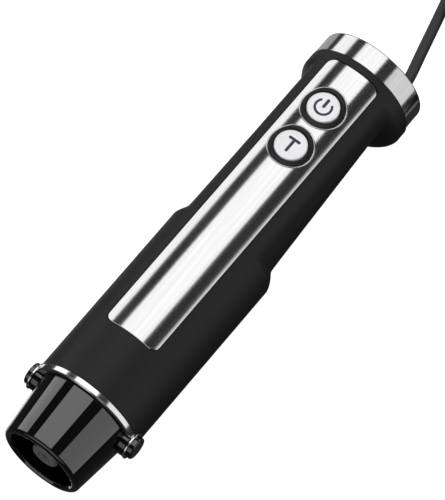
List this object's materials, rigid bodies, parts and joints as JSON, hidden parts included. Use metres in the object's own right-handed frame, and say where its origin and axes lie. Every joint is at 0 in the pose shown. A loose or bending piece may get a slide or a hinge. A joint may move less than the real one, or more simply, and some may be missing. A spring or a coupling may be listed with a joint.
{
  "type": "hand blender motor unit",
  "caption": "Motor handle of a hand blender: push buttons on a steel panel, side release buttons, tapered nose with drive coupling, mains cord.",
  "frame": {"origin": "on the surface it lies on, under the middle of the body's length and width, cord left out", "axes": "+Y from the nose to the top where the cord leaves, +Z out of the front panel, +X to the right"},
  "size_m": [0.1075, 0.3846, 0.0568],
  "materials": {
    "soft_touch": "soft-touch paint over moulded ABS",
    "gloss_black": "polished moulding",
    "brushed_steel": "brushed along the body",
    "chrome": "mirror plated",
    "silver_button": "satin silver",
    "grey_nylon": "moulded, glass filled",
    "chassis": "moulded",
    "rubber": "moulded",
    "cord_jacket": "extruded PVC jacket",
    "copper": "enamelled copper winding",
    "iron": "stacked laminations",
    "circuit_board": "solder mask",
    "carbon": "pressed graphite",
    "brass": "drawn",
    "spring_steel": "drawn wire"
  },
  "bodies": {
    "motor_unit": {"main_housing": "soft_touch", "front_panel": "brushed_steel", "chrome_ring": "chrome", "nose_collar": "gloss_black", "top_band": "brushed_steel", "top_cap": "gloss_black", "power_button_bezel": "gloss_black", "turbo_button_bezel": "gloss_black", "power_button_spring": "spring_steel", "turbo_button_spring": "spring_steel", "release_spring_left": "spring_steel", "release_spring_right": "spring_steel", "stator_core": "iron", "front_field_coil": "copper", "rear_field_coil": "copper", "lower_damper": "rubber", "upper_damper": "rubber", "lower_motor_bracket": "chassis", "upper_motor_bracket": "chassis", "lower_bearing": "spring_steel", "upper_bearing": "spring_steel", "motor_screw_left": "spring_steel", "motor_screw_right": "spring_steel", "left_carbon_brush": "carbon", "right_carbon_brush": "carbon", "left_brush_holder": "brass", "right_brush_holder": "brass", "carrier_frame": "chassis", "button_carrier": "chassis", "circuit_board": "circuit_board", "power_switch": "chassis", "turbo_switch": "chassis", "suppression_capacitor": "chassis", "triac_heatsink": "brushed_steel", "cord_clamp": "chassis", "cord_clamp_screw_1": "spring_steel", "cord_clamp_screw_2": "spring_steel", "strain_relief": "rubber", "cord_tail": "cord_jacket", "power_cord": "cord_jacket", "cord_coil": "cord_jacket", "cord_tie": "rubber", "plug_lead": "cord_jacket", "plug_body": "gloss_black", "plug_pin_left": "brass", "plug_pin_right": "brass"},
    "power_button": {"power_button": "silver_button"},
    "turbo_button": {"turbo_button": "silver_button"},
    "release_button_left": {"release_button_left": "gloss_black"},
    "release_button_right": {"release_button_right": "gloss_black"},
    "rotor": {"motor_shaft": "spring_steel", "drive_coupling": "grey_nylon", "cooling_fan": "chassis", "armature_core": "iron", "lower_armature_winding": "copper", "upper_armature_winding": "copper", "commutator": "copper"}
  },
  "joints": [
    {"name": "power_press", "type": "slide", "parent": "motor_unit", "child": "power_button", "axis": [0, 0, -1], "range_m": [0, 0.0012], "stiffness_N_per_m": 1500, "springref_m": -0.001, "deforming": ["power_button_spring"]},
    {"name": "turbo_press", "type": "slide", "parent": "motor_unit", "child": "turbo_button", "axis": [0, 0, -1], "range_m": [0, 0.0012], "stiffness_N_per_m": 1500, "springref_m": -0.001, "deforming": ["turbo_button_spring"]},
    {"name": "release_left_press", "type": "slide", "parent": "motor_unit", "child": "release_button_left", "axis": [1, 0, 0], "range_m": [0, 0.0025], "stiffness_N_per_m": 1200, "springref_m": -0.0015, "deforming": ["release_spring_left"]},
    {"name": "release_right_press", "type": "slide", "parent": "motor_unit", "child": "release_button_right", "axis": [-1, 0, 0], "range_m": [0, 0.0025], "stiffness_N_per_m": 1200, "springref_m": -0.0015, "deforming": ["release_spring_right"]},
    {"name": "motor_spin", "type": "hinge", "parent": "motor_unit", "child": "rotor", "pos_m": [0, 0, 0.028], "axis": [0, 1, 0], "continuous": true}
  ]
}
